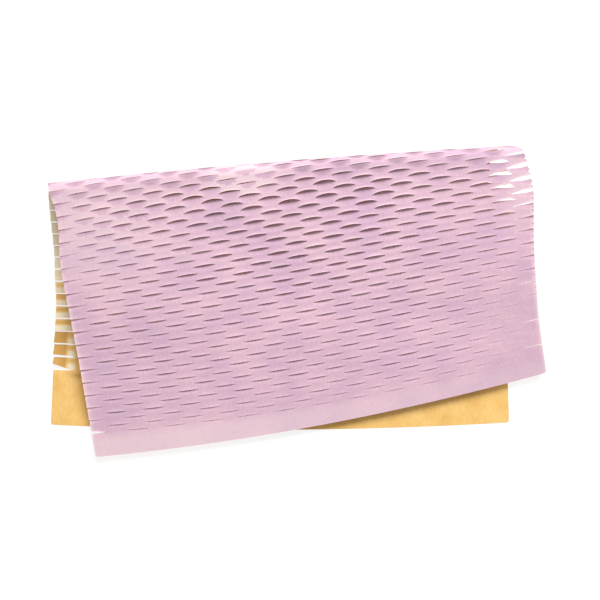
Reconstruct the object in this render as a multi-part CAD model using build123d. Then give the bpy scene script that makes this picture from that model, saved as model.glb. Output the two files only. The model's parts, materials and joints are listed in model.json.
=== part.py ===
"""Honeycomb wrapping paper: one slit sheet of two-faced paper, laid flat and folded over once.

The sheet is drawn flat first, with its slits, and cut into regions along the lines where it
bends. Each region is then carried round the fold to where it lies. The lower half lies on the
table with its kraft face up, and the upper half comes back over it with its lilac face up.
"""

import os
from math import atan2, cos, degrees, radians, sin

from build123d import *

# The sheet as it is cut, before it is folded.
SHEET_WIDTH = 300.0  # along the slits
LOWER_BAND = 31.5  # plain paper before the first row of slits
UPPER_BAND = 15.7  # plain paper after the last row
PAPER_THICKNESS = 0.15
CORNER_RADIUS = 2.5

# The slits, in staggered rows that run out through both side edges.
SLIT_ROWS = 74
ROW_SPACING = 4.1
SLIT_LENGTH = 15.0
SLIT_SPACING = 24.0  # from slit to slit along a row
FIRST_SLIT = 6.0  # from the side edge to the middle of the slit that runs out through it
SLIT_OPENING = 0.3

# The fold, whose line is not quite parallel to the rows.
FOLD_SKEW = 4.9  # degrees between the fold line and the rows
FOLD_START = 118.0  # from the lower edge to where the paper lifts, on the centreline
LIFT_ANGLE = 25.0  # degrees, of the part that rises to the roll
LIFT_BEND = 9.0  # length over which the paper starts to rise
LIFT_LENGTH = 41.0  # straight rise from there to the roll
ROLL_STRIPS = 4  # narrow strips that the roll is divided into
ROLL_STRIP = 4.5  # width of each
UPPER_SLOPE = 8.6  # degrees, of the upper half down towards its free edge
HINGE_GAP = 0.2  # left open between neighbouring regions

SETTLED_RISE = 2.0  # how far off the table the upper half ends when it is laid open
STRETCH = 25.0  # travel of each end band as the slits beside it open

SHEET_LENGTH = LOWER_BAND + (SLIT_ROWS - 1) * ROW_SPACING + UPPER_BAND
ROLL_HINGES = ROLL_STRIPS + 1
ROLL_ANGLE = (180.0 + UPPER_SLOPE - LIFT_ANGLE) / ROLL_HINGES
REACH = 2 * (SHEET_WIDTH + SHEET_LENGTH)  # longer than the sheet in any direction


def fold_lines():
    """Each bend across the fold, as (distance from the first, the angle it turns by)."""
    lines = [(0.0, LIFT_ANGLE / 2), (LIFT_BEND, LIFT_ANGLE / 2)]
    roll_start = LIFT_BEND + LIFT_LENGTH
    return lines + [(roll_start + n * ROLL_STRIP, ROLL_ANGLE) for n in range(ROLL_HINGES)]


def flat_on_fold(shape):
    """Moves a shape from the sheet's own axes (X along the rows from the centreline, Y from the
    lower edge) to the fold's (X along the fold line, Y across it from the first bend)."""
    return Rot(0, 0, -FOLD_SKEW) * (Pos(0, -FOLD_START) * shape)


def across_fold(x, y):
    """The distance across the fold of a point given on the sheet's own axes."""
    return (y - FOLD_START) * cos(radians(FOLD_SKEW)) - x * sin(radians(FOLD_SKEW))


def sheet_outline():
    outline = RectangleRounded(SHEET_WIDTH, SHEET_LENGTH, CORNER_RADIUS)
    return flat_on_fold(Pos(0, SHEET_LENGTH / 2) * outline)


def slit_places():
    """The middle of every slit on the sheet's own axes. Alternate rows start half a space in, and
    the first row is one of those."""
    count = int(SHEET_WIDTH / SLIT_SPACING) + 2
    for row in range(SLIT_ROWS):
        start = -SHEET_WIDTH / 2 + FIRST_SLIT + SLIT_SPACING / 2 * ((row + 1) % 2)
        for n in range(count):
            x = start + n * SLIT_SPACING
            if x - SLIT_LENGTH / 2 < SHEET_WIDTH / 2:
                yield x, LOWER_BAND + row * ROW_SPACING


def slit_corners(x, y):
    return [
        (x + side * SLIT_LENGTH / 2, y + edge * SLIT_OPENING / 2)
        for side in (-1, 1)
        for edge in (-1, 1)
    ]


class Region:
    """A piece of the flat sheet between two bends, or between a bend and an end band's edge."""

    def __init__(self, name, bend, across=(-REACH, REACH), along=(-REACH, REACH)):
        self.name = name
        self.bend = bend  # how many bends lie between this region and the lower half
        self.across = across  # limits across the fold
        self.along = along  # limits from the sheet's lower edge

    def holds(self, x, y):
        return (
            self.across[0] < across_fold(x, y) < self.across[1]
            and self.along[0] < y < self.along[1]
            and abs(x) < SHEET_WIDTH / 2
        )

    def outline(self):
        middle, width = sum(self.across) / 2, self.across[1] - self.across[0]
        start, length = sum(self.along) / 2, self.along[1] - self.along[0]
        face = sheet_outline() & (Pos(0, middle) * Rectangle(REACH, width))
        return face & flat_on_fold(Pos(0, start) * Rectangle(REACH, length))

    def faces(self):
        """The region's paper with its slits: those inside as holes, the rest as notches. A notch
        that runs out at the side can leave a corner that only the next region holds on to, and
        that corner is then a face of its own."""
        whole, notches = [], []
        for x, y in slit_places():
            inside = [self.holds(*corner) for corner in slit_corners(x, y)]
            if any(inside):
                slit = flat_on_fold(Pos(x, y) * Rectangle(SLIT_LENGTH, SLIT_OPENING))
                (whole if all(inside) else notches).append(slit)
        cut = self.outline()
        if notches:
            cut = cut - notches
        found = cut.faces()
        holes = [slit.face() for slit in whole]
        return [
            Face(
                face.outer_wire(),
                [hole.outer_wire() for hole in holes if len(found) == 1 or face.is_inside(hole.center())],
            )
            for face in found
        ]

    def solid(self):
        """The region's paper, where the fold carries it. Its middle layer lies in the plane."""
        start, place = bend_places()[self.bend]
        down = Pos(0, -start, -PAPER_THICKNESS / 2)
        sheets = [Solid.extrude(down * face, Vector(0, 0, PAPER_THICKNESS)) for face in self.faces()]
        return place * (sheets[0] if len(sheets) == 1 else Compound(sheets))


def bend_places():
    """For the lower half and then for what follows each bend: the distance across the fold where
    it starts, and the plane that it lies in once folded."""
    up, height, along, last = 0.0, PAPER_THICKNESS / 2, 0.0, 0.0
    places = [(0.0, Plane((0, 0, height), x_dir=(1, 0, 0), z_dir=(0, 0, 1)))]
    for start, turn in fold_lines():
        along += (start - last) * cos(radians(up))
        height += (start - last) * sin(radians(up))
        up, last = up + turn, start
        facing = (0, -sin(radians(up)), cos(radians(up)))
        places.append((start, Plane((0, along, height), x_dir=(1, 0, 0), z_dir=facing)))
    return places


def regions():
    lines = [start for start, _ in fold_lines()]
    half_gap = HINGE_GAP / 2
    lower_edge = LOWER_BAND - ROW_SPACING / 2
    upper_edge = SHEET_LENGTH - UPPER_BAND + ROW_SPACING / 2
    found = [
        Region("lower_end_band", 0, along=(-REACH, lower_edge - half_gap)),
        Region("lower_slit_field", 0, (-REACH, -half_gap), (lower_edge + half_gap, REACH)),
    ]
    names = ["lift_bend", "lift_panel"] + [f"roll_strip_{n + 1}" for n in range(ROLL_STRIPS)]
    for n, name in enumerate(names):
        found.append(Region(name, n + 1, (lines[n] + half_gap, lines[n + 1] - half_gap)))
    last = len(lines)
    found += [
        Region("upper_slit_field", last, (lines[-1] + half_gap, REACH), (-REACH, upper_edge - half_gap)),
        Region("upper_end_band", last, along=(upper_edge + half_gap, REACH)),
    ]
    return found


def on_table(shape):
    """Turns the folded sheet so that the lower half's rows lie along X."""
    return Rot(0, 0, FOLD_SKEW) * shape


def build():
    """Every region where it lies, with the origin under the middle of the whole sheet's box."""
    lying = {region.name: on_table(region.solid()) for region in regions()}
    boxes = [shape.bounding_box() for shape in lying.values()]
    left, right = min(box.min.X for box in boxes), max(box.max.X for box in boxes)
    front, back = min(box.min.Y for box in boxes), max(box.max.Y for box in boxes)
    to_origin = Pos(-(left + right) / 2, -(front + back) / 2, -min(box.min.Z for box in boxes))
    return {name: to_origin * shape for name, shape in lying.items()}, to_origin


def joint_lines(to_origin):
    """Each bend as (point, axis, range in degrees) and each end band's slide as (axis, range).
    A bend opens towards flat. The first is left a little bent and the second turns as much
    further, so that the upper half ends level and clear of the table."""
    left_bent = degrees(atan2(SETTLED_RISE, LIFT_BEND + LIFT_LENGTH))
    opens = [turn for _, turn in fold_lines()]
    opens[0] -= left_bent
    opens[-1] += left_bent
    axis = on_table(Pos(-1, 0, 0)).position
    bends = []
    for (_, place), turn in zip(bend_places()[1:], opens):
        point = (to_origin * on_table(Pos(*place.origin))).position
        bends.append((tuple(point), tuple(axis), turn))
    away = Vector(sin(radians(FOLD_SKEW)), cos(radians(FOLD_SKEW)), 0)
    slides = []
    for side, number in ((-1, 0), (1, -1)):
        place = bend_places()[number][1]
        direction = place.x_dir * away.X + place.y_dir * away.Y
        direction = on_table(Pos(*(direction * side))).position
        slides.append((tuple(direction), STRETCH))
    return bends, slides


if __name__ == "__main__":
    os.makedirs("parts", exist_ok=True)
    nodes, to_origin = build()
    for name, shape in nodes.items():
        export_step(shape, f"parts/{name}.step")
    bends, slides = joint_lines(to_origin)
    for point, axis, turn in bends:
        print("bend at", [round(v, 3) for v in point], "about", [round(v, 5) for v in axis], round(turn, 3))
    for axis, travel in slides:
        print("slide along", [round(v, 5) for v in axis], travel)
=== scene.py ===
import json
import math

import bmesh
import bpy
import numpy as np
from mathutils import Matrix, Vector


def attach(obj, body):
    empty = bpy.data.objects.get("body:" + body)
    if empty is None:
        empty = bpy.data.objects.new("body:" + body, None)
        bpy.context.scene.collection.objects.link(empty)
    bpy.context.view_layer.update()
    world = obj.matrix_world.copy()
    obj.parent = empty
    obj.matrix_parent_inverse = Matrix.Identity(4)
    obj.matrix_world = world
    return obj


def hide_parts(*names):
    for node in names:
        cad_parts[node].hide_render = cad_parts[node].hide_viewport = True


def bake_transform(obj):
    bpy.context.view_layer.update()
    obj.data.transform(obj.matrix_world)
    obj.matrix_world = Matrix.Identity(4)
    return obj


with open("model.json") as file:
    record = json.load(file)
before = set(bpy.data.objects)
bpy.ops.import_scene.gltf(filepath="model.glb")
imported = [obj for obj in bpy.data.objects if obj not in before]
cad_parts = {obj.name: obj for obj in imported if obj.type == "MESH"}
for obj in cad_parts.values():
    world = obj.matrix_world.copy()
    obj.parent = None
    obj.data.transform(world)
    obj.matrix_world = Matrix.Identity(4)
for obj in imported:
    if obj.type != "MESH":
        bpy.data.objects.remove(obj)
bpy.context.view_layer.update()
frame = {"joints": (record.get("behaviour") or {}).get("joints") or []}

# ------------------------------------------------------------------------------------ camera
# Looks almost straight down on the folded sheet from a little in front of it, as over a table.
CAMERA_AIM = (-0.0005, 0.00184, 0.0)
CAMERA_DISTANCE = 0.4229
CAMERA_ELEVATION = math.radians(83.38)
CAMERA_ROLL = math.radians(0.137)
CAMERA_LENS = 37.89

camera = bpy.data.objects.new("camera", bpy.data.cameras.new("camera"))
camera.data.sensor_width = 36.0
camera.data.lens = CAMERA_LENS
camera.data.clip_start, camera.data.clip_end = 0.01, 10.0
towards = Vector((0.0, -math.cos(CAMERA_ELEVATION), math.sin(CAMERA_ELEVATION)))
camera.rotation_mode = "QUATERNION"
camera.location = Vector(CAMERA_AIM) + towards * CAMERA_DISTANCE
tilt = (-towards).to_track_quat("-Z", "Y")
camera.rotation_quaternion = tilt @ Matrix.Rotation(CAMERA_ROLL, 3, "Z").to_quaternion()
bpy.context.scene.collection.objects.link(camera)
bpy.context.scene.camera = camera
bpy.context.scene.view_settings.view_transform = "Standard"

# ---------------------------------------------------------------------------- floor and light
# A plain white table, a large soft light high behind the fold, and an even white room that
# fills the shadows.
FLOOR_HALF = 3.0
FLOOR_DROP = 0.00005  # below the paper, so that the two never share a plane
FLOOR_BASE = (0.25, 0.25, 0.25, 1.0)
FLOOR_GLOW = 0.80  # the table glows as well, which makes it white and its shadows faint
ROOM_STRENGTH = 0.45
KEY_PLACE = (0.35, 1.2, 1.25)
KEY_SIZE = 1.0
KEY_POWER = 33.0


def link(made):
    """Puts a new object into the scene."""
    bpy.context.scene.collection.objects.link(made)
    return made


ways_out = ((-1, -1), (1, -1), (1, 1), (-1, 1))
corners = [(x * FLOOR_HALF, y * FLOOR_HALF, -FLOOR_DROP) for x, y in ways_out]
floor_mesh = bpy.data.meshes.new("floor")
floor_mesh.from_pydata(corners, [], [(0, 1, 2, 3)])
floor = link(bpy.data.objects.new("floor", floor_mesh))
floor_paint = bpy.data.materials.new("white_table")
floor_paint.use_nodes = True
floor_shader = floor_paint.node_tree.nodes["Principled BSDF"]
floor_shader.inputs["Base Color"].default_value = FLOOR_BASE
floor_shader.inputs["Roughness"].default_value = 0.9
floor_shader.inputs["Specular IOR Level"].default_value = 0.1
floor_shader.inputs["Emission Color"].default_value = (1.0, 1.0, 1.0, 1.0)
floor_shader.inputs["Emission Strength"].default_value = FLOOR_GLOW
floor_mesh.materials.append(floor_paint)

room = bpy.data.worlds.new("room")
bpy.context.scene.world = room
room.use_nodes = True
room.node_tree.nodes["Background"].inputs["Color"].default_value = (1.0, 1.0, 1.0, 1.0)
room.node_tree.nodes["Background"].inputs["Strength"].default_value = ROOM_STRENGTH

key = link(bpy.data.objects.new("key_light", bpy.data.lights.new("key_light", "AREA")))
key.data.shape = "DISK"
key.data.size = KEY_SIZE
key.data.energy = KEY_POWER
key.location = KEY_PLACE
key.rotation_mode = "QUATERNION"
key.rotation_quaternion = (-Vector(KEY_PLACE)).to_track_quat("-Z", "Y")

# ----------------------------------------------------------------------- the sheet, as it is cut
# One rectangle of two-faced paper with staggered rows of short slits. It is drawn flat here, as
# strips between one row and the next that share their points wherever the paper is joined.
WIDTH = 0.300
LOWER_BAND = 0.0315
UPPER_BAND = 0.0157
ROWS = 74
ROW = 0.0041
SLIT = 0.015
SLIT_SPACING = 0.024
FIRST_SLIT = 0.006  # from the left edge to the middle of the first slit, in every other row
CORNER = 0.0018  # the radius of the sheet's corners
OUT_OF_SQUARE = 0.0047  # how much shorter the last band is at its right end
LOWER_OUT_OF_SQUARE = 0.0022  # and the first band
COLUMN = 0.0015  # from one point of the mesh to the next along a row
LOWER_BAND_STEP = 0.0035  # and from one line of it to the next across each plain band
UPPER_BAND_STEP = 0.0028
STRIP_STEPS = np.array([0.0, 0.1, 0.25, 0.45, 0.7, 1.0])  # closer just beyond each row of slits
OPENING_POWER = 0.7
LENGTH = LOWER_BAND + (ROWS - 1) * ROW + UPPER_BAND
LOWER_BAND_EDGE = LOWER_BAND - ROW / 2
UPPER_BAND_EDGE = LENGTH - UPPER_BAND + ROW / 2

columns = np.linspace(-WIDTH / 2, WIDTH / 2, round(WIDTH / COLUMN) + 1)


def band_lines(start, end, step):
    """Even lines across a plain band, about step apart, the first at start and the last at end."""
    return np.linspace(start, end, max(2, round((end - start) / step) + 1))


def at_slit(u, row):
    """For points at u along a row: the number of the nearest slit, and how open the paper is
    there, from 0 where it is joined. A slit is open by one minus the square of the distance from
    its middle, over half its length, raised to a power. One that runs out at the side opens
    steadily to the edge."""
    start = -WIDTH / 2 + FIRST_SLIT + SLIT_SPACING / 2 * ((row + 1) % 2)
    number = np.clip(np.round((u - start) / SLIT_SPACING), 0, None)
    middle = start + number * SLIT_SPACING
    opened = np.clip(1 - ((u - middle) / (SLIT / 2)) ** 2, 0, 1) ** OPENING_POWER
    tip = np.abs(middle) - SLIT / 2
    runs_out = np.abs(middle) + SLIT / 2 > WIDTH / 2
    outwards = (np.abs(u) - tip) / (WIDTH / 2 - tip).clip(1e-9)
    opened = np.where(runs_out, np.where(u * middle > 0, outwards, 0), opened)
    return number.astype(int), np.where(opened > 1e-6, opened, 0)


corner_lines = CORNER * np.array([0, 0.08, 0.25, 0.55])  # closer where the corners are round
first_lines = band_lines(CORNER, LOWER_BAND_EDGE, LOWER_BAND_STEP)
last_lines = band_lines(UPPER_BAND_EDGE, LENGTH - CORNER, UPPER_BAND_STEP)
strips = [np.concatenate([corner_lines, first_lines, [LOWER_BAND]])]
strips += [LOWER_BAND + ROW * (n + STRIP_STEPS) for n in range(ROWS - 1)]
strips += [np.concatenate([[UPPER_BAND_EDGE - ROW / 2], last_lines, LENGTH - corner_lines[::-1]])]

flat_u, flat_v, row_below, quads = [], [], [], []
count = 0
top_points = None
for n, lines in enumerate(strips):
    grid = count + np.arange(len(lines) * len(columns)).reshape(len(lines), len(columns))
    if n:
        joined = at_slit(columns, n - 1)[1] == 0
        grid -= joined.sum()
        grid[0] = np.where(joined, top_points, count + np.cumsum(~joined) - 1)
        fresh = np.vstack([~joined, np.ones((len(lines) - 1, len(columns)), bool)])
    else:
        fresh = np.ones(grid.shape, bool)
    u, v = np.meshgrid(columns, lines)
    flat_u.append(u[fresh])
    flat_v.append(v[fresh])
    row_below.append(np.full(fresh.sum(), n - 1))
    # The lilac face looks down where the sheet lies flat, so each quad goes round clockwise.
    around = [grid[:-1, :-1], grid[1:, :-1], grid[1:, 1:], grid[:-1, 1:]]
    quads.append(np.stack(around, -1).reshape(-1, 4))
    count += fresh.sum()
    top_points = grid[-1]
flat_u, flat_v, row_below = map(np.concatenate, (flat_u, flat_v, row_below))
quads = np.concatenate(quads)

# ------------------------------------------------------------------ how the sheet lies, folded
# It bends at the frame's hinges. Each bend is a short even arc instead of a crease, and beyond
# the last the upper half sags and comes down nearly level at its free edge.
LIFT_ARC = 0.0045  # half the length of each of the first two bends
ROLL_ARC = 0.00225
SECTION_STEP = 0.00005
FRONT_HEIGHT = 0.0046  # of the upper half's free edge above the table
SAG = 1.25
SETTLE = 1.5
FOLD_START = 0.118  # from the lower edge to the first bend, along the middle of the sheet
# How far each edge and the fold bow, and the distances across the fold where a bow starts and is
# whole. The lower half's are counted the other way from the fold.
UPPER_BOW, UPPER_BOW_GROWS = 0.0065, (0.09, 0.235)
LOWER_BOW, LOWER_BOW_GROWS = 0.004, (0.02, 0.118)
FOLD_BOW, FOLD_BOW_GROWS, FOLD_BOW_ENDS = 0.001, (0.0, 0.04), (-0.13, -0.08)

hinges = [joint for joint in frame["joints"] if joint["type"] == "hinge"]
hinge_at = np.array([joint["pos_m"] for joint in hinges])
along_fold = -np.array(hinges[0]["axis"])
across = np.array([-along_fold[1], along_fold[0], 0.0])
fold_turn = math.atan2(along_fold[1], along_fold[0])
section = np.stack([(hinge_at - hinge_at[0]) @ across, hinge_at[:, 2]], -1)
runs = np.diff(section, axis=0)
stations = np.append(0, np.cumsum(np.hypot(*runs.T)))
leaf_slide = next(joint for joint in frame["joints"] if joint["name"] == "upper_stretch")
leaf_slope = math.asin(-leaf_slide["axis"][2] / math.cos(fold_turn))
headings = np.concatenate([[0], np.arctan2(runs[:, 1], runs[:, 0]), [math.pi + leaf_slope]])
half_arcs = np.where(np.arange(len(stations)) < 2, LIFT_ARC, ROLL_ARC)
LEAF_START = stations[-1] + ROLL_ARC


def smooth(x, start, end):
    """0 up to start and 1 from end on, with three squares less two cubes of the share between."""
    t = np.clip((x - start) / (end - start), 0, 1)
    return t * t * (3 - 2 * t)


def bump(x, middle, spread):
    """1 at the middle, falling by the exponential of minus the square of the distance in spreads."""
    return np.exp(-(((x - middle) / spread) ** 2))


def fold_section():
    """The folded sheet seen along the fold, as distances along the paper, places across and up,
    and headings. The curvature is even over each bend's arc and nought between them, and its sum
    is the heading, whose cosine and sine are summed to give the place."""
    distance = np.arange(-0.2, 0.3, SECTION_STEP)
    near = np.abs(distance[:, None] - stations) <= half_arcs
    heading = ((np.diff(headings) / (2 * half_arcs)) * near).sum(1).cumsum() * SECTION_STEP
    heading *= headings[-1] / heading[-1]
    step_across = np.cos(heading) * SECTION_STEP
    step_up = np.sin(heading) * SECTION_STEP
    start = np.searchsorted(distance, -LIFT_ARC)
    place_across = np.cumsum(step_across) - np.cumsum(step_across)[start] + distance[start]
    place_up = np.cumsum(step_up) - np.cumsum(step_up)[start] + hinge_at[0, 2]
    return distance, place_across, place_up, heading


profile = fold_section()


def on_fold(u, v):
    """Distances along and across the fold line of points of the flat sheet."""
    cos, sin = math.cos(fold_turn), math.sin(fold_turn)
    return u * cos + (v - FOLD_START) * sin, (v - FOLD_START) * cos - u * sin


def lie(u, v, out):
    """The folded sheet: the place of each flat point (u, v), raised by out on its lilac side. It
    goes along the fold by its distance along, and across and up by the section's values at its
    distance across. The upper half is lowered by a sag that brings its free edge to its height,
    and both free edges bow forward in the middle, each by one less the square of the distance
    from the middle line. The fold bows back a little in the same way."""
    t, s = on_fold(u, v)
    p = np.interp(s, profile[0], profile[1])
    z = np.interp(s, profile[0], profile[2])
    heading = np.interp(s, profile[0], profile[3])
    s_end = on_fold(u, np.full_like(u, LENGTH))[1]
    q = np.clip((s - LEAF_START) / (s_end - LEAF_START), 0, 1)
    drop = (s_end - LEAF_START) * math.sin(leaf_slope)
    front = hinge_at[-1, 2] - drop
    z = z - drop * ((1 - (1 - q) ** SAG) - q) - (front - FRONT_HEIGHT) * q**SETTLE
    middle = 1 - (2 * u / WIDTH) ** 2
    bow = -UPPER_BOW * middle * smooth(s, *UPPER_BOW_GROWS)
    bow = bow - LOWER_BOW * middle * smooth(-s, *LOWER_BOW_GROWS)
    bow = bow + FOLD_BOW * (2 * middle - 1) * smooth(s, *FOLD_BOW_GROWS) * smooth(-s, *FOLD_BOW_ENDS)
    p = p + bow + out * np.sin(heading)
    z = z - out * np.cos(heading)
    place = hinge_at[0] * (1, 1, 0) + t[:, None] * along_fold + p[:, None] * across
    place[:, 2] = z
    return place


# ---------------------------------------------------------------- how each slit stands open
# Pulled a little open, every strip between two rows turns like a slat: the edge beyond a slit
# dips under the edge before it, which curls up. It shows most just in front of the roll,
# less towards the last band, and hardly at all at the right front corner and on the lower half.
SEED = 11
ROLL_FRONT = 0.075  # across the fold, a little beyond the roll's last bend
ROLL_LEVELS = (0.0685, 0.080)  # where the relief grows from the roll's share to the whole
ROLL_KEEPS = 0.28  # the share of the relief that is left on the roll
ROLL_KEEPS_OPEN = 0.40
# Sizes everywhere, more near the roll, and more in the middle of the upper half.
LENS, LENS_AT_ROLL = 2.2e-3, 1.6e-3
DEPTH, DEPTH_AT_ROLL, DEPTH_IN_MIDDLE = 0.72e-3, 0.70e-3, 0.8e-3
LIP, LIP_AT_ROLL, LIP_IN_MIDDLE = 0.40e-3, 0.30e-3, 0.25e-3
OPEN, OPEN_AT_ROLL = 0.30e-3, 1.45e-3
# Shares by which the relief is quieter at each place.
QUIET_CORNER, QUIET_END, QUIET_PATCH = 0.8, 0.55, 0.9
QUIET_LEFT_EDGE, QUIET_LEFT, QUIET_RIGHT = 0.45, 0.42, 0.28
LOWER_HALF_KEEPS = 0.16
ROLL_REACH = 0.045  # how far across the fold the roll's extra relief spreads
TUCK = 0.35e-3
PAPER_HALF = 0.000075

seeds = np.random.default_rng(SEED)
slit_strength = seeds.uniform(0.78, 1.22, (ROWS + 2, 20))
slit_lip = seeds.uniform(0.6, 1.3, (ROWS + 2, 20))
tongue_gap = seeds.uniform(0.25, 1.0, (ROWS + 4, 2))


def flat_glare_patch(u, s):
    """A patch left of the middle, close to the roll, where the cells lie flatter and the lilac gets
    painted glare: 1 at its middle, 0 well away from it.
    """
    return bump(u, -0.027, 0.019) * bump(s, 0.071, 0.010)


s_flat = on_fold(flat_u, flat_v)[1]
upper = smooth(s_flat, 0.03, 0.05)  # 1 from the roll on, 0 on the lower half
near_roll = np.where(s_flat < ROLL_FRONT, 1.0, bump(s_flat, ROLL_FRONT, ROLL_REACH))
near_roll *= smooth(s_flat, 0.0, 0.03)
steep = np.interp(s_flat, profile[0], profile[3])  # the heading: upright at the back of the roll
level = smooth(s_flat, *ROLL_LEVELS)  # the roll itself is nearly smooth
# Each of these places is 1 inside and fades to 0 round it.
right_corner = smooth(flat_u, 0.085, 0.135) * smooth(flat_v, 0.262, 0.300)
last_rows = smooth(flat_v, UPPER_BAND_EDGE - 5 * ROW, UPPER_BAND_EDGE)
flat_patch = np.clip(flat_glare_patch(flat_u, s_flat) * 1.6, 0, 1)
beyond_roll = smooth(s_flat, 0.06, 0.09) * (1 - smooth(s_flat, 0.12, 0.15))
left_edge = smooth(-flat_u, 0.095, 0.14) * beyond_roll
left_side = smooth(-flat_u, 0.02, 0.11) * (1 - smooth(s_flat, 0.11, 0.14))
right_side = smooth(flat_u, 0.05, 0.12)
quiet = (1 - QUIET_CORNER * right_corner) * (1 - QUIET_END * last_rows)
quiet *= (1 - QUIET_PATCH * flat_patch) * (1 - QUIET_LEFT_EDGE * left_edge)
quiet *= (1 - QUIET_LEFT * left_side) * (1 - QUIET_RIGHT * right_side)
first_row_left = smooth(-flat_u, 0.118, 0.126) * (row_below <= 0)
quiet *= LOWER_HALF_KEEPS + (1 - LOWER_HALF_KEEPS) * np.maximum(upper, first_row_left)

lens = LENS + LENS_AT_ROLL * near_roll  # how far a dip reaches from its slit
deepest = bump(flat_u, 0.005, 0.080) * bump(s_flat, 0.125, 0.035)
kept = ROLL_KEEPS + (1 - ROLL_KEEPS) * level
kept_open = ROLL_KEEPS_OPEN + (1 - ROLL_KEEPS_OPEN) * level
depth = (DEPTH + DEPTH_AT_ROLL * near_roll + DEPTH_IN_MIDDLE * deepest) * quiet * kept
lip_height = (LIP + LIP_AT_ROLL * near_roll + LIP_IN_MIDDLE * deepest) * quiet * upper * kept
open_by = (OPEN + OPEN_AT_ROLL * near_roll) * quiet * upper * kept_open
# Where the paper is steep, a dip is tucked further back, so that no one looks in under its edge.
look_under = np.tan(np.clip(math.pi + 0.12 - steep, 0, 1.15)) * smooth(s_flat, 0.048, 0.058)

# The dip beyond the slit before each point, and the lip at the slit after it.
number, opened = at_slit(flat_u, row_below)
opened = np.where(row_below >= 0, opened, 0)
past = np.clip(flat_v - (LOWER_BAND + row_below * ROW), 0, None)
strength = slit_strength[row_below, number]
reach = np.clip(1 - (past / (lens * opened).clip(1e-6)) ** 2, 0, None)
dip = strength * depth * opened * reach**1.5
row_above = row_below + 1
number_above, opened_above = at_slit(flat_u, row_above)
opened_above = np.where(row_above < ROWS, opened_above, 0)
before = (LOWER_BAND + row_above * ROW - flat_v) / ROW
lip_share = opened_above * np.clip(1 - before, 0, 1) ** 3
lip = slit_lip[row_above, number_above] * lip_height * lip_share
lip_back = slit_strength[row_above, number_above] * open_by * opened_above
lip_back *= np.clip(1 - before, 0, 1) ** 1.5
tuck = 1.1 * strength * open_by + TUCK * quiet + (depth + lip_height) * look_under
tuck = tuck * opened * reach**1.5
# How much painted shade each point gets as the inside of an open cell, most of all on the roll.
inside = near_roll * quiet * upper * opened * smooth(reach, 0.1, 0.5) * (1.15 - 0.65 * level)

# Holes that stand open in front of the roll, wide at its right edge and narrow left of the
# middle, and the notch beside the last band at the left.
RIGHT_HOLE, LEFT_HOLE, LAST_NOTCH = 2.4e-3, 0.7e-3, 1.1e-3
hole = RIGHT_HOLE * bump(flat_u, 0.140, 0.012) * bump(s_flat, 0.084, 0.017)
hole = hole + LEFT_HOLE * bump(flat_u, -0.045, 0.035) * bump(s_flat, 0.083, 0.012)
hole_before = hole * opened * np.clip(1 - past / ROW, 0, 1) ** 2
hole_after = hole * lip_share
last_notch = LAST_NOTCH * smooth(-flat_u, 0.1385, 0.150)
hole_before = hole_before + last_notch * (row_below == ROWS - 1) * np.clip(1 - past / ROW, 0, 1)
hole_after = hole_after + last_notch * (row_above == ROWS - 1) * np.clip(1 - before, 0, 1)

# The tongues between slits that run out at the sides twist and draw apart at their free ends. The
# first few of the lower half stand furthest apart and are lifted most.
TONGUE_GAP, TONGUE_GAP_AT_ROLL = 0.5e-3, 0.9e-3
LOWER_GAP, FIRST_GAP, FIRST_GAPS_FADE = 0.8e-3, 3.4e-3, 1.8
LOWER_LIFT, FIRST_LIFT, FIRST_LIFTS_FADE = 0.9e-3, 1.5e-3, 6.0
odd_row = row_below - (row_below + 1) % 2
tongue_length = FIRST_SLIT + SLIT / 2
tongue_out = np.clip((np.abs(flat_u) - (WIDTH / 2 - FIRST_SLIT - SLIT / 2)) / tongue_length, 0, 1)
tongue_up = np.clip((flat_v - (LOWER_BAND + odd_row * ROW)) / (2 * ROW), 0, 1)
in_field = (odd_row >= 1) & (row_below < ROWS - 1)
side = (flat_u > 0).astype(int)
right_at_roll = bump(s_flat, 0.08, 0.02) * side
gap = tongue_gap[odd_row + 1, side] * (TONGUE_GAP + TONGUE_GAP_AT_ROLL * right_at_roll)
first_rows = (1 - upper) * (LOWER_GAP + FIRST_GAP * np.exp(-(odd_row - 1) / FIRST_GAPS_FADE))
gap = np.where(in_field, np.maximum(gap, first_rows), 0)
spread = tongue_out ** np.where(odd_row == 1, 1.2, 0.5)  # the first gap is a wedge
twist = np.where(in_field, spread * (1 - tongue_up), 0)
tongue_lift = LOWER_LIFT + FIRST_LIFT * np.exp(-(odd_row - 1) / FIRST_LIFTS_FADE)
tongue_lift = (1 - upper) * tongue_lift * twist

# Between the roll and its free edge the upper half waves a little, in two crossing sets of slow
# ripples.
RIPPLE, CROSS_RIPPLE = 0.45e-3, 0.35e-3
wave = RIPPLE * np.sin(flat_u * 52 + flat_v * 23)
wave = wave + CROSS_RIPPLE * np.sin(flat_u * 31 - flat_v * 61 + 1.3)
wave *= smooth(s_flat, 0.08, 0.12) * (1 - smooth(flat_v, 0.285, 0.320))

# On the lower half the lilac side is underneath, so a dip there stands up from the table.
out = PAPER_HALF - dip + lip + wave - tongue_lift
shift = -0.25 * dip - tuck - lip_back + hole_before - hole_after + gap * twist
# A painted highlight along each curled lip, strongest near the roll, on the upper half only.
painted_lip_highlight = opened_above * np.clip(1 - before, 0, 1) ** 8 * (0.25 + 0.5 * near_roll) * upper

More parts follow.
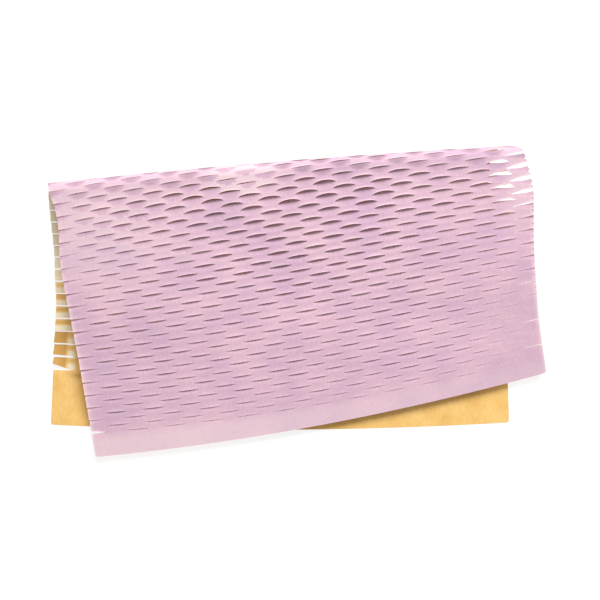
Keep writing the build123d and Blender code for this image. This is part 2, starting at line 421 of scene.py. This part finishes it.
# The ends: rounded corners, and both bands cut a little out of square. Then the sides. The right
# one draws in round the fold, stands out just beyond the roll, and draws in a little after that.
# The left one stands out a little round the fold, and draws in beyond the roll.
LOWER_END_OUT = 0.0015
RIGHT_FOLD_IN, RIGHT_OUT, RIGHT_IN = 0.0125, 0.0050, 0.0026
LEFT_FOLD_OUT, LEFT_IN = 0.0022, 0.0042
last = smooth(flat_v, UPPER_BAND_EDGE, LENGTH)
shift = shift - OUT_OF_SQUARE * (flat_u / WIDTH + 0.5) * last
first = 1 - smooth(flat_v, 0.030, 0.090)
shift = shift - (LOWER_END_OUT - LOWER_OUT_OF_SQUARE * (flat_u / WIDTH + 0.5)) * first
to_end = np.minimum(flat_v, LENGTH - flat_v)
corner_in = CORNER - np.sqrt(np.clip(CORNER**2 - np.clip(CORNER - to_end, 0, None) ** 2, 0, None))
# How far each point is moved to the right, corners first.
sideways = -np.sign(flat_u) * corner_in * np.clip((np.abs(flat_u) - 0.138) / 0.012, 0, 1)
right_end = np.clip((flat_u - 0.06) / 0.09, 0, 1) ** 2
left_end = np.clip((-flat_u - 0.06) / 0.09, 0, 1) ** 2
right_beyond = RIGHT_OUT * bump(s_flat, 0.092, 0.026) - RIGHT_IN * smooth(s_flat, 0.12, 0.18)
left_fold = smooth(s_flat, -0.03, 0.0) * (1 - smooth(s_flat, 0.045, 0.060))
right_fold = smooth(s_flat, -0.02, 0.02) * (1 - smooth(s_flat, 0.048, 0.068))
sideways += right_end * right_beyond
sideways += left_end * LEFT_IN * bump(s_flat, 0.086, 0.022)
sideways -= left_end * LEFT_FOLD_OUT * left_fold
sideways -= right_end * RIGHT_FOLD_IN * right_fold

# ------------------------------------------------------------------ paper: colours and fibres
# Thin paper printed lilac on one face and left kraft on the other, with a pale cut edge.
PAPER_SPECULAR = 0.25
FIBRE_HEIGHT = 0.0001
WRINKLE_SCALE, WRINKLE_HEIGHT = 240.0, 0.0004
FLECK_SCALE = 1500.0


def paper(name, dark, light, tint_scale, fibre_scale, fibre_bump, roughness, tint=None):
    """A paper whose colour drifts between two tints with slow noise, with fine fibres in its
    colour and its bump and long wrinkles under them, all worked out on the flat sheet. A tint
    function, if there is one, is given the colour and says what becomes of it."""
    material = bpy.data.materials.new(name)
    material.use_nodes = True
    tree = material.node_tree
    shader = tree.nodes["Principled BSDF"]
    shader.inputs["Roughness"].default_value = roughness
    shader.inputs["Specular IOR Level"].default_value = PAPER_SPECULAR
    flat = tree.nodes.new("ShaderNodeUVMap")
    flat.uv_map = "flat"

    def noise(scale, detail, stretch=(1, 1, 1)):
        spread = tree.nodes.new("ShaderNodeMapping")
        spread.inputs["Scale"].default_value = stretch
        tree.links.new(flat.outputs["UV"], spread.inputs["Vector"])
        made = tree.nodes.new("ShaderNodeTexNoise")
        made.inputs["Scale"].default_value = scale
        made.inputs["Detail"].default_value = detail
        tree.links.new(spread.outputs["Vector"], made.inputs["Vector"])
        return made.outputs["Fac"]

    def ramp(value, start, end, low, high):
        made = tree.nodes.new("ShaderNodeMapRange")
        limits = {"From Min": start, "From Max": end, "To Min": low, "To Max": high}
        for socket, limit in limits.items():
            made.inputs[socket].default_value = limit
        tree.links.new(value, made.inputs["Value"])
        return made.outputs["Result"]

    def mix(kind, amount, first, second):
        made = tree.nodes.new("ShaderNodeMix")
        made.data_type = "RGBA"
        made.blend_type = kind
        # The mix node has a factor, two colours and a result for each kind of data it mixes.
        for place, value in ((0, amount), (6, first), (7, second)):
            socket = made.inputs[place]
            if isinstance(value, (tuple, float)):
                socket.default_value = value
            else:
                tree.links.new(value, socket)
        return made.outputs[2]

    def bump_over(height, strength, distance):
        made = tree.nodes.new("ShaderNodeBump")
        made.inputs["Strength"].default_value = strength
        made.inputs["Distance"].default_value = distance
        tree.links.new(height, made.inputs["Height"])
        return made

    drift = ramp(noise(tint_scale, 3.0), 0.35, 0.65, 0.0, 1.0)
    colour = mix("MIX", drift, dark, light)
    fibres = noise(fibre_scale, 4.0, (1.0, 0.35, 1.0))
    colour = mix("MULTIPLY", 1.0, colour, ramp(fibres, 0.3, 0.7, 0.93, 1.05))
    wrinkles = bump_over(noise(WRINKLE_SCALE, 2.0, (1.0, 0.15, 1.0)), 0.5, WRINKLE_HEIGHT)
    fine = bump_over(fibres, fibre_bump, FIBRE_HEIGHT)
    tree.links.new(wrinkles.outputs["Normal"], fine.inputs["Normal"])
    tree.links.new(fine.outputs["Normal"], shader.inputs["Normal"])
    if tint:
        # The attribute holds painted light: painted highlights (and a paler last band) above nought,
        # painted shade below.
        pale_and_painted_light = tree.nodes.new("ShaderNodeAttribute")
        pale_and_painted_light.attribute_name = "pale_and_painted_light"
        colour = tint(colour, pale_and_painted_light.outputs["Fac"], noise, ramp, mix)
    tree.links.new(colour, shader.inputs["Base Color"])
    return material


LILAC_DEEP = (0.655, 0.430, 0.560, 1.0)
LILAC_LIGHT = (0.760, 0.500, 0.600, 1.0)
# LILAC_PALE is laid on as painted highlights and glow, and as a paler last band; LILAC_SHADE as
# painted shade.
LILAC_PALE = (0.930, 0.740, 0.740, 1.0)
LILAC_SHADE = (0.380, 0.235, 0.315, 1.0)
KRAFT_DEEP = (0.840, 0.500, 0.150, 1.0)
KRAFT_LIGHT = (0.930, 0.600, 0.210, 1.0)
# KRAFT_PALE and KRAFT_SHADE are laid on as painted highlights and painted shade on the kraft.
KRAFT_PALE = (0.985, 0.920, 0.740, 1.0)
KRAFT_SHADE = (0.520, 0.290, 0.075, 1.0)
KRAFT_FLECK = (0.50, 0.27, 0.08, 1.0)
CUT_DEEP = (0.930, 0.740, 0.640, 1.0)
CUT_LIGHT = (0.97, 0.83, 0.76, 1.0)


def lilac_tint(colour, pale_and_painted_light, noise, ramp, mix):
    """Painted highlights and glow, and a paler last band, where the attribute is above nought;
    painted shade where it is below.
    """
    colour = mix("MIX", ramp(pale_and_painted_light, 0.0, 1.0, 0.0, 1.0), colour, LILAC_PALE)
    return mix("MIX", ramp(pale_and_painted_light, -1.0, 0.0, 0.8, 0.0), colour, LILAC_SHADE)


def kraft_tint(colour, pale_and_painted_light, noise, ramp, mix):
    """The same on the kraft, as painted highlights and painted shade, and then small dark flecks
    where a fine noise is high.
    """
    colour = mix("MIX", ramp(pale_and_painted_light, 0.0, 1.0, 0.0, 1.0), colour, KRAFT_PALE)
    colour = mix("MIX", ramp(pale_and_painted_light, -1.0, 0.0, 1.0, 0.0), colour, KRAFT_SHADE)
    flecks = ramp(noise(FLECK_SCALE, 2.0, (0.4, 1.0, 1.0)), 0.62, 0.75, 0.0, 0.35)
    return mix("MIX", flecks, colour, KRAFT_FLECK)


lilac = paper(
    "lilac_face",
    LILAC_DEEP,
    LILAC_LIGHT,
    tint_scale=34.0,
    fibre_scale=900.0,
    fibre_bump=0.35,
    roughness=0.72,
    tint=lilac_tint,
)
kraft = paper(
    "kraft_face",
    KRAFT_DEEP,
    KRAFT_LIGHT,
    tint_scale=60.0,
    fibre_scale=700.0,
    fibre_bump=0.5,
    roughness=0.8,
    tint=kraft_tint,
)
cut_edge = paper(
    "cut_edge",
    CUT_DEEP,
    CUT_LIGHT,
    tint_scale=90.0,
    fibre_scale=1200.0,
    fibre_bump=0.2,
    roughness=0.85,
)

# ------------------------------------------------------- the sheet cut across at its bends
# The flat sheet is cut along lines parallel to the fold, between one hinge and the next, so that
# each length of paper crosses one hinge only. Both sides of a cut keep the same points.
PAPER = 0.0002  # how thick the paper is drawn
FIRST_SEAM = -0.006  # a little before the first bend's arc
seams = [FIRST_SEAM, LIFT_ARC, stations[2] - ROLL_ARC] + [at + ROLL_ARC for at in stations[2:]]

sheet_mesh = bpy.data.meshes.new("flat_sheet")
sheet_mesh.from_pydata(np.stack([flat_u, flat_v, 0 * flat_u], -1).tolist(), [], quads.tolist())
carried = {
    "out": out,
    "shift": shift,
    "sideways": sideways,
    # the painted highlight on the curled lips
    "lip": painted_lip_highlight,
    # the painted shade inside open cells
    "inside": inside,
}
for name, values in carried.items():
    layer = sheet_mesh.attributes.new(name, "FLOAT", "POINT")
    layer.data.foreach_set("value", values.astype(np.float32))
cutting = bmesh.new()
cutting.from_mesh(sheet_mesh)
facing = Vector((-math.sin(fold_turn), math.cos(fold_turn), 0))
for seam in seams:
    everything = cutting.verts[:] + cutting.edges[:] + cutting.faces[:]
    place = Vector((0, FOLD_START, 0)) + facing * seam
    bmesh.ops.bisect_plane(cutting, geom=everything, plane_co=place, plane_no=facing, dist=1e-8)
cutting.to_mesh(sheet_mesh)
cutting.free()


def read(layer, name, kind, width=1):
    """One value, or a row of width values, from every item of a mesh's layer."""
    values = np.zeros(len(layer) * width, kind)
    layer.foreach_get(name, values)
    return values.reshape(-1, width) if width > 1 else values


cut = read(sheet_mesh.vertices, "co", np.float32, 3).astype(float)
cut_u, cut_v = cut[:, 0], cut[:, 1]
cut_out, cut_shift, cut_side, cut_lip_highlight, cut_inside = (
    read(sheet_mesh.attributes[name].data, "value", np.float32).astype(float) for name in carried
)
corner_point = read(sheet_mesh.loops, "vertex_index", np.int32)
face_start = read(sheet_mesh.polygons, "loop_start", np.int32)
face_size = read(sheet_mesh.polygons, "loop_total", np.int32)
bpy.data.meshes.remove(sheet_mesh)
corner_face = np.repeat(np.arange(len(face_size)), face_size)
next_corner = np.arange(len(corner_point)) + 1
next_corner[face_start + face_size - 1] = face_start
next_point = corner_point[next_corner]

cut_s = on_fold(cut_u, cut_v)[1]
lilac_side = lie(cut_u + cut_side, cut_v + cut_shift, cut_out)


def point_normals():
    """The direction out of the lilac face at each point: the sum of its faces' area vectors. All
    lengths of the sheet share these, so that no seam shows."""
    a, b = lilac_side[corner_point], lilac_side[next_point]
    area = np.stack([np.bincount(corner_face, part) for part in np.cross(a, b).T], -1)
    total = np.stack([np.bincount(corner_point, part, len(cut)) for part in area[corner_face].T], -1)
    return total / np.linalg.norm(total, axis=1)[:, None]


lilac_way = point_normals()
kraft_side = lilac_side - lilac_way * PAPER
face_s = np.bincount(corner_face, cut_s[corner_point]) / face_size
face_v = np.bincount(corner_face, cut_v[corner_point]) / face_size

# Lilac is painted paler as painted highlights along both sides, as painted glare in the patch where
# the cells lie flatter, on the curled lips and at the left near the roll, and as a painted glow of
# light through the paper at the right near the roll. It is also paler on the last band. It gets
# painted shade inside the open cells near the roll.
SIDE_PALE, LEFT_PALE, RIGHT_PALE, BAND_PALE = 0.75, 0.45, 0.35, 0.45
PATCH_PALEST = 0.62
BAND_FADE = 0.004
# A painted highlight along both sides.
painted_side_highlight = SIDE_PALE * smooth(np.abs(cut_u), WIDTH / 2 - 0.0022, WIDTH / 2 - 0.0004)
# Painted glare on the patch near the roll.
painted_patch_glare = np.clip(flat_glare_patch(cut_u, cut_s) * 1.3, 0, PATCH_PALEST)
# Painted glare at the left near the roll, and paler on the last band, most of all at its left.
left_glare_and_pale_band = LEFT_PALE * bump(cut_u, -0.125, 0.055) * bump(cut_s, 0.090, 0.035)
on_last_band = smooth(cut_v, UPPER_BAND_EDGE - BAND_FADE, UPPER_BAND_EDGE + BAND_FADE)
left_glare_and_pale_band = left_glare_and_pale_band + BAND_PALE * on_last_band * (1 - 0.6 * smooth(cut_u, -0.1, 0.1))
# A painted glow of light through the paper at the right side near the roll.
painted_backlit_glow = RIGHT_PALE * smooth(cut_u, 0.126, 0.138) * bump(cut_s, 0.086, 0.022)
lilac_pale_and_painted_light = np.clip(np.maximum.reduce([painted_side_highlight, painted_patch_glare, cut_lip_highlight, left_glare_and_pale_band, painted_backlit_glow]), 0, 1)
# Painted shade inside the open cells, below nought.
lilac_pale_and_painted_light = np.where(cut_inside > 0.05, -cut_inside, lilac_pale_and_painted_light)
# The kraft tongues at the left get painted light and shade: painted highlights towards the lift and
# on the lower half of each tongue, and painted shade on the upper half. The first few get painted
# shade, with a painted highlight on the lower half of the root. There is painted shade just beyond
# the first slit.
DARK_TONGUES = 3
TONGUE_DARK, ROOT_PALE = 0.85, 0.8
TONGUE_PALE, TONGUE_SHADED, LIFT_PALE = 0.75, 0.4, 0.85
FIRST_SLIT_DARK = 0.8
tongue_at = ((cut_v - LOWER_BAND) / ROW - 1) / 2  # counts tongues from the lower band
at_tongue = (cut_u < -0.1355) & (tongue_at > 0)
lower_half_of_tongue = 1 - smooth(tongue_at % 1, 0.35, 0.65)
root = smooth(cut_u, -0.1425, -0.1400)
first_tongues_painted_shade_and_light = -TONGUE_DARK * (1 - root) + ROOT_PALE * root * lower_half_of_tongue
later_tongues_painted_light_and_shade = TONGUE_PALE * lower_half_of_tongue - TONGUE_SHADED * (1 - lower_half_of_tongue)
kraft_painted_light = np.where(tongue_at < DARK_TONGUES, first_tongues_painted_shade_and_light, later_tongues_painted_light_and_shade)
kraft_painted_light = kraft_painted_light + (LIFT_PALE - kraft_painted_light) * smooth(cut_s, -0.025, 0.0)
kraft_painted_light = np.where(at_tongue, kraft_painted_light, 0) * (1 - smooth(cut_s, 0.040, 0.060))
# Painted shade just beyond the first slit, at the left.
first_slit_painted_shade = bump(cut_u, -0.132, 0.006) * bump(cut_v, LOWER_BAND + 0.001, 0.0012)
kraft_painted_light = kraft_painted_light - FIRST_SLIT_DARK * first_slit_painted_shade


def length_of_paper(name, wanted):
    """A closed length of the folded sheet, and its flat area: the lilac surface and the kraft
    surface of the wanted faces, and a narrow wall from one to the other along every edge that only
    one of those faces has. The area is half the sum of the cross products round the faces."""
    corners_wanted = wanted[corner_face]
    points, corner = np.unique(corner_point[corners_wanted], return_inverse=True)
    after = np.searchsorted(points, next_point[corners_wanted])
    total = len(points)
    sizes = face_size[wanted]
    start = np.append(0, np.cumsum(sizes))[:-1]
    faces = []
    for size in np.unique(sizes):
        rows = corner[start[sizes == size][:, None] + np.arange(size)]
        faces += rows.tolist() + (rows[:, ::-1] + total).tolist()
    ahead, back = corner * total + after, after * total + corner
    border = ~np.isin(ahead, back)
    a, b = corner[border], after[border]
    wall = np.stack([b, a, a + total, b + total], -1)
    surfaces = len(faces)
    kinds = []
    for size in np.unique(sizes):
        same = (sizes == size).sum()
        kinds += [0] * same + [1] * same
    mesh = bpy.data.meshes.new(name)
    both = np.concatenate([lilac_side[points], kraft_side[points]])
    mesh.from_pydata(both.tolist(), [], faces + wall.tolist())
    mesh.polygons.foreach_set("material_index", np.array(kinds + [2] * len(wall), np.int32))
    mesh.polygons.foreach_set("use_smooth", np.arange(surfaces + len(wall)) < surfaces)
    layer = mesh.uv_layers.new(name="flat")
    corner_in_mesh = read(mesh.loops, "vertex_index", np.int32)
    flat_places = np.stack([cut_u, cut_v], -1)
    corner_places = flat_places[points][corner_in_mesh % total]
    layer.uv.foreach_set("vector", corner_places.astype(np.float32).ravel())
    pale_and_painted_light = mesh.attributes.new("pale_and_painted_light", "FLOAT", "POINT")
    tints = np.append(lilac_pale_and_painted_light[points], kraft_painted_light[points])
    pale_and_painted_light.data.foreach_set("value", tints.astype(np.float32))
    for material in (lilac, kraft, cut_edge):
        mesh.materials.append(material)
    mesh.update()
    ways = np.concatenate([lilac_way[points], -lilac_way[points]])[corner_in_mesh]
    wall_ways = np.cross(both[wall[:, 1]] - both[wall[:, 0]], both[wall[:, 2]] - both[wall[:, 1]])
    wall_ways /= np.linalg.norm(wall_ways, axis=1)[:, None]
    ways[len(ways) - 4 * len(wall) :] = np.repeat(wall_ways, 4, axis=0)
    mesh.normals_split_custom_set(ways.tolist())
    made = link(bpy.data.objects.new(name, mesh))
    this, following = corner_point[corners_wanted], next_point[corners_wanted]
    return made, abs(np.cross(flat_places[this], flat_places[following]).sum()) / 2


def section_point(s):
    """The point of the sheet that is s across the fold from its start, and level with it along."""
    flat_place = np.array([[-s * math.sin(fold_turn)], [FOLD_START + s * math.cos(fold_turn)]])
    return lie(*flat_place, np.zeros(1))[0]


def middle_point(v):
    """The point on the sheet's middle line at v from its lower edge."""
    return lie(np.zeros(1), np.array([v]), np.zeros(1))[0]


BAND_MARGIN = 0.001


def stretch_ends(v, band_edge, way):
    """The two ends of a stretch along way, from v to a band's edge. That edge is bowed, so the
    stretch ends BAND_MARGIN before its nearest point, and all of the edge moves with the band."""
    start = middle_point(v)
    edge = lie(columns, np.full_like(columns, band_edge), np.zeros_like(columns))
    return tuple(start), tuple(start + (((edge - start) @ way).min() - BAND_MARGIN) * way)


# ------------------------------------------------------------------------------ lower end band
# The plain end of the sheet, flat on the table with its kraft face up.
lower_band, area = length_of_paper("lower_band", (face_v < LOWER_BAND_EDGE) & (face_s < seams[0]))
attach(lower_band, "lower_end")
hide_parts("lower_end_band")

# ----------------------------------------------------------------------------- lower slit field
# The slit paper of the lower half, flat on the table.
lower_field, area = length_of_paper("lower_field", (face_v > LOWER_BAND_EDGE) & (face_s < seams[0]))
LOWER_STRETCH_START = 0.098
start, end = stretch_ends(LOWER_STRETCH_START, LOWER_BAND_EDGE, np.array([0.0, -1.0, 0.0]))
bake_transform(lower_field)
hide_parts("lower_slit_field")

# ---------------------------------------------------------------------- the lift and the roll
# Seven lengths of the same paper that rise from the table and roll over. Each crosses one
# hinge.
fold_lengths = [
    ("lift_bend_paper", "lower_half", "lift_bend", "lift_bend", "kraft_paper"),
    ("lift_panel_paper", "lift_bend", "lift_panel", "lift_panel", "kraft_paper"),
    ("roll_paper_1", "lift_panel", "roll_1", "roll_strip_1", "lilac_paper"),
    ("roll_paper_2", "roll_1", "roll_2", "roll_strip_2", "lilac_paper"),
    ("roll_paper_3", "roll_2", "roll_3", "roll_strip_3", "lilac_paper"),
    ("roll_paper_4", "roll_3", "roll_4", "roll_strip_4", "lilac_paper"),
    ("roll_paper_5", "roll_4", "upper_half", None, "lilac_paper"),
]
for n, (name, before_body, after_body, node, finish) in enumerate(fold_lengths):
    piece, area = length_of_paper(name, (face_s > seams[n]) & (face_s < seams[n + 1]))
    half = half_arcs[n]
    start, end = section_point(stations[n] - half), section_point(stations[n] + half)
    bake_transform(piece)
    if node:
        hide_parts(node)

# ----------------------------------------------------------------------------- upper slit field
# The slit paper of the upper half, sloping down over the lower half with its lilac face up.
upper_field, area = length_of_paper("upper_field", (face_s > seams[-1]) & (face_v < UPPER_BAND_EDGE))
UPPER_STRETCH_START = 0.203
start, end = stretch_ends(UPPER_STRETCH_START, UPPER_BAND_EDGE, np.array(leaf_slide["axis"]))
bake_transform(upper_field)
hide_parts("upper_slit_field")

# ------------------------------------------------------------------------------ upper end band
# The plain end of the upper half, lying out over the lower band and the table.
upper_band, area = length_of_paper("upper_band", (face_s > seams[-1]) & (face_v > UPPER_BAND_EDGE))
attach(upper_band, "upper_end")
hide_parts("upper_end_band")
